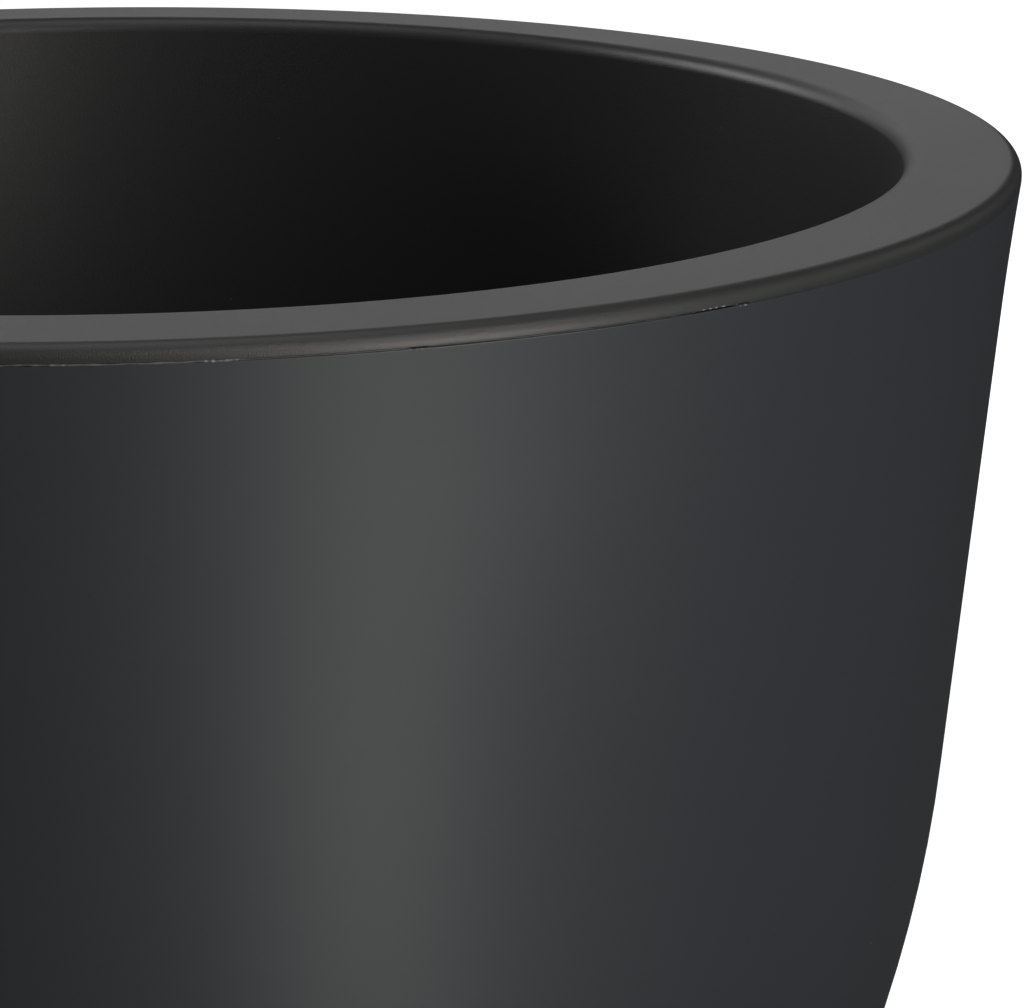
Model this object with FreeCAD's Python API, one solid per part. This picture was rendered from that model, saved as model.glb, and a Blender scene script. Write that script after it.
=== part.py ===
import FreeCAD, Part

import math
import os

# A round double-walled floor planter in millimetres, +Z up, with its origin on the floor on the pot's axis.
# The outer shell stands on four pads. The planting insert hangs in it by a flange, which is the rim that
# shows, and the line under the rim is where that flange meets the shell. A perforated grid keeps the soil
# off the insert's floor, and a screw bung with a gasket closes the drain in the shell's floor.

# Overall form
overall_height = 300.0
rim_radius = 200.0
foot_radius = 126.0
shoulder_height = 164.0
wall_taper_deg = 4.6
flare_height = 28.5
flare_out = 0.6
overrun = 2.0
match_tolerance = 0.1

# Outer shell
shell_wall = 3.2
shell_edge_radius = 0.5
foot_lift = 2.0
foot_ring_width = 4.5
foot_edge_radius = 1.5
base_recess = 7.0
base_thickness = 3.5
base_corner_radius = 8.0
drain_boss_wall = 5.0
drain_boss_drop = 6.0
base_rib_count = 8
base_rib_thickness = 2.5
base_rib_height = 5.0

# Foot pads
pad_count = 4
pad_radius = 8.0
pad_seat_depth = 2.5
pad_clearance = 0.15
pad_edge_radius = 1.0
pad_boss_wall = 2.5
pad_ring_gap = 4.0

# Planting insert
insert_wall = 3.0
rim_width = 25.0
flange_thickness = 3.2
rim_edge_land = 0.2
mouth_edge_radius = 4.0
seam_gap = 0.3
seat_bead_inset = 0.9
seat_bead_width = 1.4
register_clearance = 0.4
register_height = 9.0
register_wall = 2.2
register_chamfer = 0.8
gusset_count = 24
gusset_thickness = 2.0
gusset_height = 14.0
insert_floor_height = 43.0
insert_floor_thickness = 3.0
insert_corner_radius = 12.0
insert_foot_count = 4
insert_foot_radius = 11.0
insert_foot_wall = 2.5
insert_foot_circle = 84.0
insert_foot_clearance = 0.3
drain_hole_radius = 5.0
drain_hole_inner_circle = 48.0
drain_hole_inner_count = 6
drain_hole_edge = 9.0
drain_hole_outer_count = 12

# Drainage grid
grid_thickness = 2.5
grid_edge_clearance = 1.5
grid_rim_width = 3.0
grid_rim_drop = 4.0
grid_edge_radius = 1.2
grid_leg_height = 14.0
grid_leg_radius = 5.5
grid_leg_count = 6
grid_leg_ring = 1
grid_leg_draft_deg = 4.0
grid_hub_radius = 32.0
grid_slot_width = 4.0
grid_slot_counts = (16, 24, 32)
grid_ring_gap = 6.0
grid_finger_count = 2
grid_finger_radius = 9.5
grid_finger_circle = 17.0

# Drain bung and gasket
drain_radius = 13.0
bung_clearance = 0.3
bung_flange_radius = 20.0
bung_flange_thickness = 3.0
bung_stem_length = 9.0
bung_stem_wall = 2.5
bung_grip_height = 7.0
bung_grip_thickness = 5.0
bung_edge_radius = 0.8
gasket_thickness = 2.0
gasket_width = 5.5

AXIS = FreeCAD.Vector(0, 0, 1)
ORIGIN = FreeCAD.Vector(0, 0, 0)
FULL_TURN_DEG = 360.0
lean = math.radians(wall_taper_deg)

# Heights that more than one piece reads
flange_underside = overall_height - flange_thickness
shell_top = flange_underside - seam_gap
base_underside = foot_lift + base_recess
base_top = base_underside + base_thickness
insert_floor_underside = insert_floor_height - insert_floor_thickness


def point(radius, height):
    """A point of a profile, in the plane that is turned about the axis."""
    return FreeCAD.Vector(radius, 0, height)


def line(start, end):
    return Part.LineSegment(start, end).toShape()


def arc_about(centre, start, end):
    """The short arc from start to end about a centre, through the point midway between them."""
    middle = ((start - centre) + (end - centre)).normalize() * (start - centre).Length
    return Part.Arc(start, centre + middle, end).toShape()


def chain(points):
    """Straight edges through a run of points."""
    return [line(a, b) for a, b in zip(points, points[1:])]


def turned(edges):
    """The solid that a closed profile makes when it is turned once about the axis."""
    outline = Part.Wire(Part.sortEdges(edges)[0])
    return Part.Face(outline).revolve(ORIGIN, AXIS, FULL_TURN_DEG)


def around(shape, count, first_deg=0.0):
    """Copies of a shape, evenly spaced about the axis."""
    copies = []
    for index in range(count):
        copy = shape.copy()
        copy.rotate(ORIGIN, AXIS, first_deg + FULL_TURN_DEG * index / count)
        copies.append(copy)
    return copies


def rod(radius, bottom, top, distance=0.0):
    """An upright cylinder whose axis stands a distance out along X."""
    return Part.makeCylinder(radius, top - bottom, FreeCAD.Vector(distance, 0, bottom))


def ring_edges(shape, radius, height):
    """The round edges about the axis at this radius and height."""
    found = []
    for edge in shape.Edges:
        curve = edge.Curve
        if not isinstance(curve, Part.Circle):
            continue
        off_centre = curve.Center.sub(point(0, height)).Length
        if off_centre < match_tolerance and abs(curve.Radius - radius) < match_tolerance:
            found.append(edge)
    return found


class Side:
    """The side of a round vessel: a straight taper that runs on into one arc, down to a foot point.

    A side set in by some depth is the same taper moved along its inward normal, and an arc about the same
    centre, so walls keep their thickness and the insert keeps its distance from the shell."""

    def __init__(self, top_radius, top, foot, foot_height):
        self.top = point(top_radius, top)
        self.inward = FreeCAD.Vector(-math.cos(lean), 0, math.sin(lean))
        self.shoulder = point(top_radius - math.tan(lean) * (top - shoulder_height), shoulder_height)
        span = point(foot, foot_height) - self.shoulder
        self.bend = span.dot(span) / (2 * self.inward.dot(span))
        self.centre = self.shoulder + self.inward * self.bend

    def turn(self, inset):
        """The point where the taper becomes the arc, on the side set in by some depth."""
        return self.shoulder + self.inward * inset

    def at(self, height, inset=0.0):
        """The point at a height on the side set in by some depth."""
        turn = self.turn(inset)
        if height >= turn.z:
            return point(turn.x + math.tan(lean) * (height - turn.z), height)
        reach = math.sqrt((self.bend - inset) ** 2 - (height - self.centre.z) ** 2)
        return point(self.centre.x + reach, height)

    def down(self, start, end, inset=0.0):
        """The edges of the side from one point on it to a lower one."""
        turn = self.turn(inset)
        return [line(start, turn), arc_about(self.centre, turn, end)]


def pot_side():
    """The shell's outer side below the flare, from which both vessels take their shape."""
    taper_top = rim_radius - flare_out - math.tan(lean) * flare_height
    return Side(taper_top, shell_top - flare_height, foot_radius, foot_lift)


def flare_arc(side, inset):
    """The arc that swells the wall out to the rim, tangent to the taper, and its top point."""
    span = point(rim_radius, shell_top) - side.top
    bend = -span.dot(span) / (2 * side.inward.dot(span))
    centre = side.top - side.inward * bend
    reach = bend + inset
    top = point(centre.x - math.sqrt(reach ** 2 - (shell_top - centre.z) ** 2), shell_top)
    return arc_about(centre, top, side.top + side.inward * inset), top


def shell_mouth(side, depth):
    """The shell's inner radius at some depth under its top edge, along the chord of the flare."""
    top = flare_arc(side, shell_wall)[1]
    low = side.top + side.inward * shell_wall
    return low.x + (top.x - low.x) * (1 - depth / flare_height)


def insert_inset(side):
    """How far the insert's inner side lies inside the pot's side, so that it meets the mouth."""
    mouth_height = overall_height - mouth_edge_radius * (1 - math.sin(lean))
    mouth_radius = rim_radius - rim_width
    inset = (side.at(mouth_height).x - mouth_radius) * math.cos(lean)
    return inset, point(mouth_radius, mouth_height)


def outer_shell():
    """The outer vessel: flared wall, belly, ring foot, base with its drain boss, ribs and pad seats."""
    side = pot_side()
    outer_flare, outer_top = flare_arc(side, 0.0)
    inner_flare, inner_top = flare_arc(side, shell_wall)
    foot = side.at(foot_lift)
    ring_inside = foot.x - foot_ring_width
    floor_edge = side.at(base_top, shell_wall)
    boss_radius = drain_radius + drain_boss_wall
    boss_bottom = base_underside - drain_boss_drop
    edges = [outer_flare, *side.down(side.top, foot)]
    edges += chain([
        foot,
        point(ring_inside, foot_lift),
        point(ring_inside, base_underside),
        point(boss_radius, base_underside),
        point(boss_radius, boss_bottom),
        point(drain_radius, boss_bottom),
        point(drain_radius, base_top),
        floor_edge,
    ])
    inner_start = side.top + side.inward * shell_wall
    edges += [*side.down(inner_start, floor_edge, shell_wall), inner_flare, line(inner_top, outer_top)]
    shell = turned(edges)
    shell = shell.makeFillet(base_corner_radius, ring_edges(shell, floor_edge.x, base_top))
    shell = shell.makeFillet(foot_edge_radius, ring_edges(shell, foot.x, foot_lift))
    shell = shell.makeFillet(shell_edge_radius, ring_edges(shell, outer_top.x, shell_top))

    shell = shell.fuse(base_ribs(boss_radius, ring_inside) + pad_bosses()).removeSplitter()
    return shell.cut(pad_seats())


def base_ribs(boss_radius, ring_inside):
    """Straight ribs under the base, from the drain boss to the ring foot, between the pads."""
    sunk = base_thickness / 2
    start = FreeCAD.Vector(boss_radius - sunk, -base_rib_thickness / 2, base_underside - base_rib_height)
    length = ring_inside - boss_radius + 2 * sunk
    rib = Part.makeBox(length, base_rib_thickness, base_rib_height + sunk, start)
    return around(rib, base_rib_count, FULL_TURN_DEG / base_rib_count / 2)


def pad_circle():
    """How far the pads stand from the axis: their bosses lie just inside the ring foot."""
    return foot_radius - foot_ring_width - pad_ring_gap - pad_boss_wall - pad_radius


def pad_bosses():
    top = base_underside + base_thickness / 2
    return around(rod(pad_radius + pad_boss_wall, foot_lift, top, pad_circle()), pad_count)


def pad_seats():
    bottom = foot_lift - overrun
    top = foot_lift + pad_seat_depth
    return around(rod(pad_radius + pad_clearance, bottom, top, pad_circle()), pad_count)


def foot_pad():
    """A soft disc that fills its seat and stands proud of the ring foot, with a rounded lower edge."""
    pad = rod(pad_radius, 0.0, foot_lift + pad_seat_depth, pad_circle())
    return pad.makeFillet(pad_edge_radius, [e for e in pad.Edges if e.BoundBox.ZMax < pad_edge_radius])


def rim_edge():
    """The rounded outer edge of the flange: a quarter round down to a narrow upright land at the joint."""
    radius = flange_thickness - rim_edge_land
    centre = point(rim_radius - radius, overall_height - radius)
    start = centre + point(0, radius)
    end = centre + point(radius, 0)
    return arc_about(centre, start, end), start, end


def planting_insert():
    """The inner pot that hangs by its flange, with webs under the flange and a drained floor on feet."""
    side = pot_side()
    inset, mouth = insert_inset(side)
    back_inset = inset - insert_wall
    back = side.at(flange_underside, back_inset)
    floor_edge = side.at(insert_floor_height, inset)
    floor_back = side.at(insert_floor_underside, back_inset)
    edges, lip_inside = rim_section(side, mouth, back)
    edges += side.down(back, floor_back, back_inset)
    edges += chain([
        floor_back,
        point(0, insert_floor_underside),
        point(0, insert_floor_height),
        floor_edge,
    ])
    edges += side.down(mouth, floor_edge, inset)
    insert = turned(edges)
    insert = insert.makeFillet(insert_corner_radius, ring_edges(insert, floor_edge.x, insert_floor_height))
    outer_corner = ring_edges(insert, floor_back.x, insert_floor_underside)
    insert = insert.makeFillet(insert_corner_radius + insert_floor_thickness, outer_corner)
    webs = around(gusset(side, back_inset, lip_inside), gusset_count)
    insert = insert.fuse(webs + insert_feet()).removeSplitter()
    return insert.cut(drain_holes(floor_edge.x))


def rim_section(side, mouth, back):
    """The edges of the flange from the mouth to the back of the wall, and the inside of its register lip.

    The bead under the flange stands on the shell's top edge and leaves the joint line open outside it. The
    lip hangs just inside the shell and keeps the insert centred."""
    mouth_centre = mouth - side.inward * mouth_edge_radius
    flat_inside = mouth_centre + point(0, mouth_edge_radius)
    edge, flat_outside, edge_foot = rim_edge()
    bead_outside = rim_radius - seat_bead_inset
    bead_inside = bead_outside - seat_bead_width
    lip_bottom = flange_underside - register_height
    lip_outside = shell_mouth(side, register_height) - register_clearance
    lip_inside = lip_outside - register_wall
    edges = [arc_about(mouth_centre, mouth, flat_inside), line(flat_inside, flat_outside), edge]
    edges += chain([
        edge_foot,
        point(rim_radius, flange_underside),
        point(bead_outside, flange_underside),
        point(bead_outside, shell_top),
        point(bead_inside, shell_top),
        point(bead_inside, flange_underside),
        point(lip_outside, flange_underside),
        point(lip_outside, lip_bottom + register_chamfer),
        point(lip_outside - register_chamfer, lip_bottom),
        point(lip_inside, lip_bottom),
        point(lip_inside, flange_underside),
        back,
    ])
    return edges, lip_inside


def gusset(side, back_inset, lip_inside):
    """A web under the flange, from the insert's wall out to the register lip, sunk a little into both."""
    root = back_inset + insert_wall / 2
    top = flange_underside + flange_thickness / 2
    low = flange_underside - gusset_height
    tip = lip_inside + register_wall / 2
    corners = [
        side.at(top, root),
        point(tip, top),
        point(tip, flange_underside - register_height + register_wall),
        side.at(low, root),
        side.at(top, root),
    ]
    web = Part.Face(Part.Wire(chain(corners)))
    web.translate(FreeCAD.Vector(0, -gusset_thickness / 2, 0))
    return web.extrude(FreeCAD.Vector(0, gusset_thickness, 0))


def insert_feet():
    """Hollow stub feet that carry the insert's floor just clear of the shell's floor."""
    bottom = base_top + insert_foot_clearance
    top = insert_floor_underside + insert_floor_thickness / 2
    foot = rod(insert_foot_radius, bottom, top, insert_foot_circle)
    bore_radius = insert_foot_radius - insert_foot_wall
    bore = rod(bore_radius, bottom - overrun, insert_floor_underside, insert_foot_circle)
    return around(foot.cut(bore), insert_foot_count, FULL_TURN_DEG / insert_foot_count / 2)


def drain_holes(floor_radius):
    """Two circles of drain holes in the insert's floor."""
    outer_circle = floor_radius - insert_corner_radius - drain_hole_edge - drain_hole_radius
    low = insert_floor_underside - overrun
    high = insert_floor_height + overrun
    inner = rod(drain_hole_radius, low, high, drain_hole_inner_circle)
    outer = rod(drain_hole_radius, low, high, outer_circle)
    return around(inner, drain_hole_inner_count) + around(outer, drain_hole_outer_count)


def drainage_grid():
    """A slotted disc with a turned-down rim, on legs that stand on the insert's floor."""
    underside = insert_floor_height + grid_leg_height
    top = underside + grid_thickness
    rim_bottom = underside - grid_rim_drop
    side = pot_side()
    radius = side.at(rim_bottom, insert_inset(side)[0]).x - grid_edge_clearance
    rim_inside = radius - grid_rim_width
    grid = turned(chain([
        point(0, underside),
        point(rim_inside, underside),
        point(rim_inside, rim_bottom),
        point(radius, rim_bottom),
        point(radius, top),
        point(0, top),
        point(0, underside),
    ]))
    grid = grid.makeFillet(grid_edge_radius, ring_edges(grid, radius, top))
    finger = rod(grid_finger_radius, underside - overrun, top + overrun, grid_finger_circle)
    openings = grid_slots(underside, top, rim_inside) + around(finger, grid_finger_count)
    return grid.cut(openings).fuse(grid_legs(rim_inside)).removeSplitter()


def slot_ring(ring, rim_inside):
    """The radii between which one ring of slots runs."""
    band = (rim_inside - grid_hub_radius) / len(grid_slot_counts)
    inner = grid_hub_radius + band * ring + grid_ring_gap / 2
    return inner, inner + band - grid_ring_gap


def grid_slots(underside, top, rim_inside):
    """Rings of radial slots with round ends between the hub and the rim."""
    slots = []
    for ring, count in enumerate(grid_slot_counts):
        inner, outer = slot_ring(ring, rim_inside)
        slots += around(radial_slot(inner, outer, underside, top), count)
    return slots


def grid_legs(rim_inside):
    """Tapered legs under the bars of one slot ring, midway between two slots."""
    circle = sum(slot_ring(grid_leg_ring, rim_inside)) / 2
    tip = grid_leg_radius - math.tan(math.radians(grid_leg_draft_deg)) * grid_leg_height
    height = grid_leg_height + grid_thickness / 2
    leg = Part.makeCone(tip, grid_leg_radius, height, FreeCAD.Vector(circle, 0, insert_floor_height))
    return around(leg, grid_leg_count, FULL_TURN_DEG / grid_slot_counts[grid_leg_ring] / 2)


def radial_slot(inner, outer, bottom, top):
    """A slot along X with round ends."""
    half = grid_slot_width / 2
    low = bottom - overrun
    high = top + overrun
    ends = [rod(half, low, high, inner + half), rod(half, low, high, outer - half)]
    length = outer - inner - grid_slot_width
    bar = Part.makeBox(length, grid_slot_width, high - low, FreeCAD.Vector(inner + half, -half, low))
    return bar.fuse(ends).removeSplitter()


def drain_bung():
    """A hollow stem under a round flange, with a bar across the top to turn it by."""
    stem = drain_radius - bung_clearance
    seat = base_top + gasket_thickness
    top = seat + bung_flange_thickness
    bore = stem - bung_stem_wall
    bung = turned(chain([
        point(0, seat),
        point(bore, seat),
        point(bore, seat - bung_stem_length),
        point(stem, seat - bung_stem_length),
        point(stem, seat),
        point(bung_flange_radius, seat),
        point(bung_flange_radius, top),
        point(0, top),
        point(0, seat),
    ]))
    bung = bung.makeFillet(bung_edge_radius, ring_edges(bung, bung_flange_radius, top))
    grip = Part.makeBox(
        2 * stem,
        bung_grip_thickness,
        bung_grip_height + bung_flange_thickness / 2,
        FreeCAD.Vector(-stem, -bung_grip_thickness / 2, seat + bung_flange_thickness / 2),
    )
    grip = grip.common(rod(stem, seat, top + bung_grip_height))
    grip_top = [e for e in grip.Edges if e.BoundBox.ZMin > top + bung_grip_height - bung_edge_radius]
    return bung.fuse(grip.makeFillet(bung_edge_radius, grip_top)).removeSplitter()


def bung_gasket():
    """A flat ring between the bung's flange and the shell's floor."""
    top = base_top + gasket_thickness
    return rod(drain_radius + gasket_width, base_top, top).cut(rod(drain_radius, base_top, top))


def export(shape, name):
    solids = shape.Solids
    volume = sum(s.Volume for s in solids)
    print(f"{name}: {len(solids)} solid, valid {shape.isValid()}, {volume / 1000:.1f} cm3")
    solid = solids[0] if len(solids) == 1 else Part.makeCompound(solids)
    solid.exportStep(os.path.join("parts", name + ".step"))


def main():
    os.makedirs("parts", exist_ok=True)
    export(outer_shell(), "outer_shell")
    export(planting_insert(), "planting_insert")
    export(drainage_grid(), "drainage_grid")
    export(drain_bung(), "drain_bung")
    export(bung_gasket(), "bung_gasket")
    for index, pad in enumerate(around(foot_pad(), pad_count)):
        export(pad, f"foot_pad_{index + 1}")


main()
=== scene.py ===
# %% [markdown]
# A double-walled floor planter, made as surfaces.
# The pot is a set of round mouldings, so nearly every piece is a profile turned about the pot's axis.
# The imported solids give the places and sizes. This script gives each piece a finer surface and its finish.

# %% Load the frame and keep its box
import math

import bmesh
import bpy
import numpy as np
from mathutils import Matrix, Vector


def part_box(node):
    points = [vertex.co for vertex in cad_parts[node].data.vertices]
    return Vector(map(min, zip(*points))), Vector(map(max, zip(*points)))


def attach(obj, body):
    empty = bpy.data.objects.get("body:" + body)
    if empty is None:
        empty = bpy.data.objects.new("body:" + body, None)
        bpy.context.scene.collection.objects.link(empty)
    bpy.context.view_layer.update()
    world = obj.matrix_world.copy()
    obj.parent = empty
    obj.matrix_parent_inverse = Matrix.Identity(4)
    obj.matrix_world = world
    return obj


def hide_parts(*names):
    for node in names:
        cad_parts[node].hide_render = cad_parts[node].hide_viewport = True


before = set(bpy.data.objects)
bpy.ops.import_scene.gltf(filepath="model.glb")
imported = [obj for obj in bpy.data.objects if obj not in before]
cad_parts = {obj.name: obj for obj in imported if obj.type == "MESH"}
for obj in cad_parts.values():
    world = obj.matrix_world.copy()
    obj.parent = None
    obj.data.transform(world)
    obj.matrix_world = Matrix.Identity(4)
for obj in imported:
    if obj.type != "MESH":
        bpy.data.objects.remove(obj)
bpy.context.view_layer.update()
rim_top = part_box("planting_insert")[1].z
print("solids:", sorted(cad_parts))
print("height of the rim above the floor:", round(rim_top, 4))

# %% [markdown]
# The camera stands where the photograph was taken from.
# Its place was found by fitting the rim's inner edge, its outer crease, its far edge and the right outline.
# It looks down on the rim from about ten degrees above it. It is turned to the pot's right, so the picture cuts
# off the left side without a shift of the lens.

# %% Camera
photo_width = 1024
focal_px = 3286.3
sensor_mm = 36.0
camera_reach = 0.720
camera_rise = 0.12536
camera_yaw = math.radians(7.242)
camera_pitch = math.radians(16.387)
camera_roll = math.radians(0.424)


def camera_matrix():
    """Columns are right, up and back: yaw about the vertical, then pitch down, then roll about the view line."""
    forward = Vector((
        math.sin(camera_yaw) * math.cos(camera_pitch),
        math.cos(camera_yaw) * math.cos(camera_pitch),
        -math.sin(camera_pitch),
    ))
    level = Vector((math.cos(camera_yaw), -math.sin(camera_yaw), 0))
    upright = level.cross(forward)
    right = math.cos(camera_roll) * level + math.sin(camera_roll) * upright
    up = -math.sin(camera_roll) * level + math.cos(camera_roll) * upright
    turn = Matrix((right, up, -forward)).transposed().to_4x4()
    return Matrix.Translation((0, -camera_reach, rim_top + camera_rise)) @ turn


camera_data = bpy.data.cameras.new("camera")
camera_data.sensor_width = sensor_mm
camera_data.lens = focal_px / photo_width * sensor_mm
camera = bpy.data.objects.new("camera", camera_data)
camera.matrix_world = camera_matrix()
bpy.context.scene.collection.objects.link(camera)
bpy.context.scene.camera = camera
print("lens in mm:", round(camera_data.lens, 1))

# %% [markdown]
# Node trees are easier to read when a node, its settings and what feeds it stand on one line.
# The helpers make a node and either link a socket to each named input or set its value.


# %% Node helpers
def add(tree, kind, feeds=None, **settings):
    """Makes a node. feeds maps an input's name or number to a socket to link or a value to set."""
    made = tree.nodes.new(kind)
    for key, value in settings.items():
        setattr(made, key, value)
    for name, source in (feeds or {}).items():
        if isinstance(source, bpy.types.NodeSocket):
            tree.links.new(source, made.inputs[name])
        else:
            made.inputs[name].default_value = source
    return made


def math_node(tree, operation, *values, clamp=False):
    """One Math node; its values are numbers or sockets. Returns its output socket."""
    made = add(tree, "ShaderNodeMath", dict(enumerate(values)), operation=operation, use_clamp=clamp)
    return made.outputs[0]


def mix_colour(tree, factor, first, second):
    """Colour between first and second by a factor. A Mix node has its colours at inputs 6 and 7 and output 2."""
    made = add(tree, "ShaderNodeMix", {0: factor, 6: first, 7: second}, data_type="RGBA")
    return made.outputs[2]


def empty_material(name):
    """A material with only its output node. Returns the material, its tree and the output."""
    material = bpy.data.materials.new(name)
    material.use_nodes = True
    tree = material.node_tree
    tree.nodes.clear()
    return material, tree, tree.nodes.new("ShaderNodeOutputMaterial")


# %% [markdown]
# The picture's background is plain white, but the pot's plastic mirrors a darker room: its walls lean in
# towards the foot, so they show the floor rather than the sky. Light Path tells a ray that comes straight from
# the camera, or through something clear, from one that bounced off the pot. The first sees white, and the
# second a dim room. The floor is pale and keeps the pot's shadow.

# %% World and floor
sky_light = 0.02
floor_half = 6.0
floor_paint = 0.80
near_glow = 0.70
far_glow = 1.0
glow_reach = (0.40, 1.10)
floor_bounce = 0.10


def seen_directly(tree):
    """One for a ray from the camera or through a clear thing, else zero."""
    path = tree.nodes.new("ShaderNodeLightPath")
    return math_node(tree, "MAXIMUM", path.outputs["Is Camera Ray"], path.outputs["Is Transmission Ray"])


def make_world():
    """A sky of strength one where it is seen directly, and dim where it lights the pot."""
    world = bpy.data.worlds.new("studio")
    world.use_nodes = True
    tree = world.node_tree
    tree.nodes.clear()
    strength = math_node(tree, "MULTIPLY_ADD", seen_directly(tree), 1.0 - sky_light, sky_light)
    sky = add(tree, "ShaderNodeBackground", {"Color": (1, 1, 1, 1), "Strength": strength})
    add(tree, "ShaderNodeOutputWorld", {"Surface": sky.outputs[0]})
    bpy.context.scene.world = world


def floor_material():
    """Pale paint with a glow where it is seen directly, which is weaker near the pot so that the shadow there
    shows, and dark paint for light that bounces to the pot."""
    material, tree, output = empty_material("pale_floor")
    pale = add(tree, "ShaderNodeBsdfDiffuse", {"Color": (floor_paint,) * 3 + (1,)})
    place = tree.nodes.new("ShaderNodeTexCoord").outputs["Object"]
    away = add(tree, "ShaderNodeVectorMath", {0: place}, operation="LENGTH")
    grow = add(tree, "ShaderNodeMapRange", {
        "Value": away.outputs["Value"], "From Min": glow_reach[0], "From Max": glow_reach[1],
        "To Min": near_glow, "To Max": far_glow}, interpolation_type="SMOOTHSTEP")
    glow = add(tree, "ShaderNodeEmission", {"Color": (1, 1, 1, 1), "Strength": grow.outputs[0]})
    lit = add(tree, "ShaderNodeAddShader", {0: pale.outputs[0], 1: glow.outputs[0]})
    dim = add(tree, "ShaderNodeBsdfDiffuse", {"Color": (floor_bounce,) * 3 + (1,)})
    mixed = add(tree, "ShaderNodeMixShader", {0: seen_directly(tree), 1: dim.outputs[0], 2: lit.outputs[0]})
    tree.links.new(mixed.outputs[0], output.inputs["Surface"])
    return material


make_world()
corners = np.array([[-1, -1, 0], [1, -1, 0], [1, 1, 0], [-1, 1, 0]]) * floor_half
floor_mesh = bpy.data.meshes.new("floor")
floor_mesh.from_pydata(corners, [], [[0, 1, 2, 3]])
floor_mesh.materials.append(floor_material())
floor = bpy.data.objects.new("floor", floor_mesh)
bpy.context.scene.collection.objects.link(floor)
print("floor half width in m:", floor_half)

# %% [markdown]
# One upright soft box at the right of the camera gives the broad highlight on the wall. It is a little warm, so
# that the highlight is grey where the plastic beside it looks blue. Weaker strips beside it let the highlight fade
# to the right, and three small high boxes carry it over the rim's rounded edge as a glint. The wall leans in, so it
# mirrors the floor: panels that lie there carry the highlight down the belly. A tall panel behind on the left draws
# the pale line on the far right of the mouth, and large panels overhead, behind and at the right shape the rim's
# flat top.

# %% Lamps
lamp_table = [
    # name, bearing from the camera's line in degrees, reach, height, width, length, watts
    ("key_box", 33.5, 1.30, 0.36, 0.28, 0.72, 6.5),
    ("fill_strip", 46.0, 1.30, 0.36, 0.12, 0.72, 1.2),
    ("side_strip", 65.0, 1.30, 0.36, 0.40, 0.72, 0.3),
    ("side_high_strip", 74.0, 1.30, 0.80, 0.14, 0.50, 0.35),
    ("front_high_box", 16.0, 1.20, 1.25, 0.20, 0.40, 2.4),
    ("right_high_box", 46.0, 1.20, 1.25, 0.20, 0.40, 3.4),
    ("edge_box", 20.0, 1.30, 0.84, 0.34, 0.24, 0.6),
    ("left_panel", 232.0, 1.80, 1.30, 0.50, 1.00, 15.5),
    ("right_panel", 107.0, 2.10, 1.20, 1.60, 0.90, 1.5),
    ("back_panel", 180.0, 2.40, 1.20, 2.40, 0.90, 6.0),
    ("back_low_panel", 208.0, 2.50, 0.36, 0.90, 0.72, 1.2),
]
plain_white = (1.0, 1.0, 1.0)
warm_white = (1.0, 0.965, 0.90)
floor_bearing = 24.0
floor_lamp_height = 0.004
floor_table = [
    # name, reach, width, length, watts
    ("floor_panel_near", 0.34, 0.09, 0.20, 0.03),
    ("floor_panel_middle", 0.56, 0.14, 0.24, 0.35),
    ("floor_panel_far", 0.88, 0.22, 0.40, 0.25),
]
top_height = 1.5
top_width = 1.0
top_watts = 3.5


def bearing_point(bearing, reach, height):
    """A point at a bearing to the right of the line from the pot to the camera."""
    angle = math.radians(bearing)
    return Vector((math.sin(angle) * reach, -math.cos(angle) * reach, height))


def soft_box(name, place, turn, width, length, watts, colour=plain_white):
    """A rectangular lamp that the camera doesn't see itself."""
    data = bpy.data.lights.new(name, "AREA")
    data.shape = "RECTANGLE"
    data.size = width
    data.size_y = length
    data.energy = watts
    data.color = colour
    lamp = bpy.data.objects.new(name, data)
    lamp.location = place
    lamp.rotation_euler = turn
    lamp.visible_camera = False
    bpy.context.scene.collection.objects.link(lamp)


for name, bearing, reach, height, width, length, watts in lamp_table:
    level_turn = (math.pi / 2, 0, math.radians(bearing))
    colour = warm_white if name == "key_box" else plain_white
    soft_box(name, bearing_point(bearing, reach, height), level_turn, width, length, watts, colour)
for name, reach, width, length, watts in floor_table:
    upturned = (math.pi, 0, math.radians(floor_bearing))
    soft_box(name, bearing_point(floor_bearing, reach, floor_lamp_height), upturned, width, length, watts, warm_white)
soft_box("top_panel", Vector((0, 0, top_height)), (0, 0, 0), top_width, top_width, top_watts)
print("lamps:", len(lamp_table) + len(floor_table) + 1)

# %% [markdown]
# Every shape here is an array of points on a grid, so one function turns any grid into faces, and one function
# turns points and faces into a finished object. Where grids meet, their points lie on each other: they are
# merged, which closes seams and poles, and then all faces are turned outwards. A closed surface has no open
# edges and a positive volume, so both are printed.


# %% Mesh helpers
merge_distance = 1e-6


def grid_quads(rows, columns, wrap_rows=False, wrap_columns=True):
    """Quads between neighbours on a rows x columns grid, joined round where wrap says so."""
    row = np.arange(rows if wrap_rows else rows - 1)[:, None]
    column = np.arange(columns if wrap_columns else columns - 1)[None, :]
    next_row, next_column = (row + 1) % rows, (column + 1) % columns
    corners = np.broadcast_arrays(
        row * columns + column, row * columns + next_column,
        next_row * columns + next_column, next_row * columns + column,
    )
    return np.stack(corners, axis=-1).reshape(-1, 4)


def join(*shapes):
    """Several (points, quads) pairs as one pair."""
    starts = np.cumsum([0] + [len(points) for points, _ in shapes[:-1]])
    points = np.concatenate([points for points, _ in shapes])
    return points, np.concatenate([quads + start for start, (_, quads) in zip(starts, shapes)])


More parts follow.
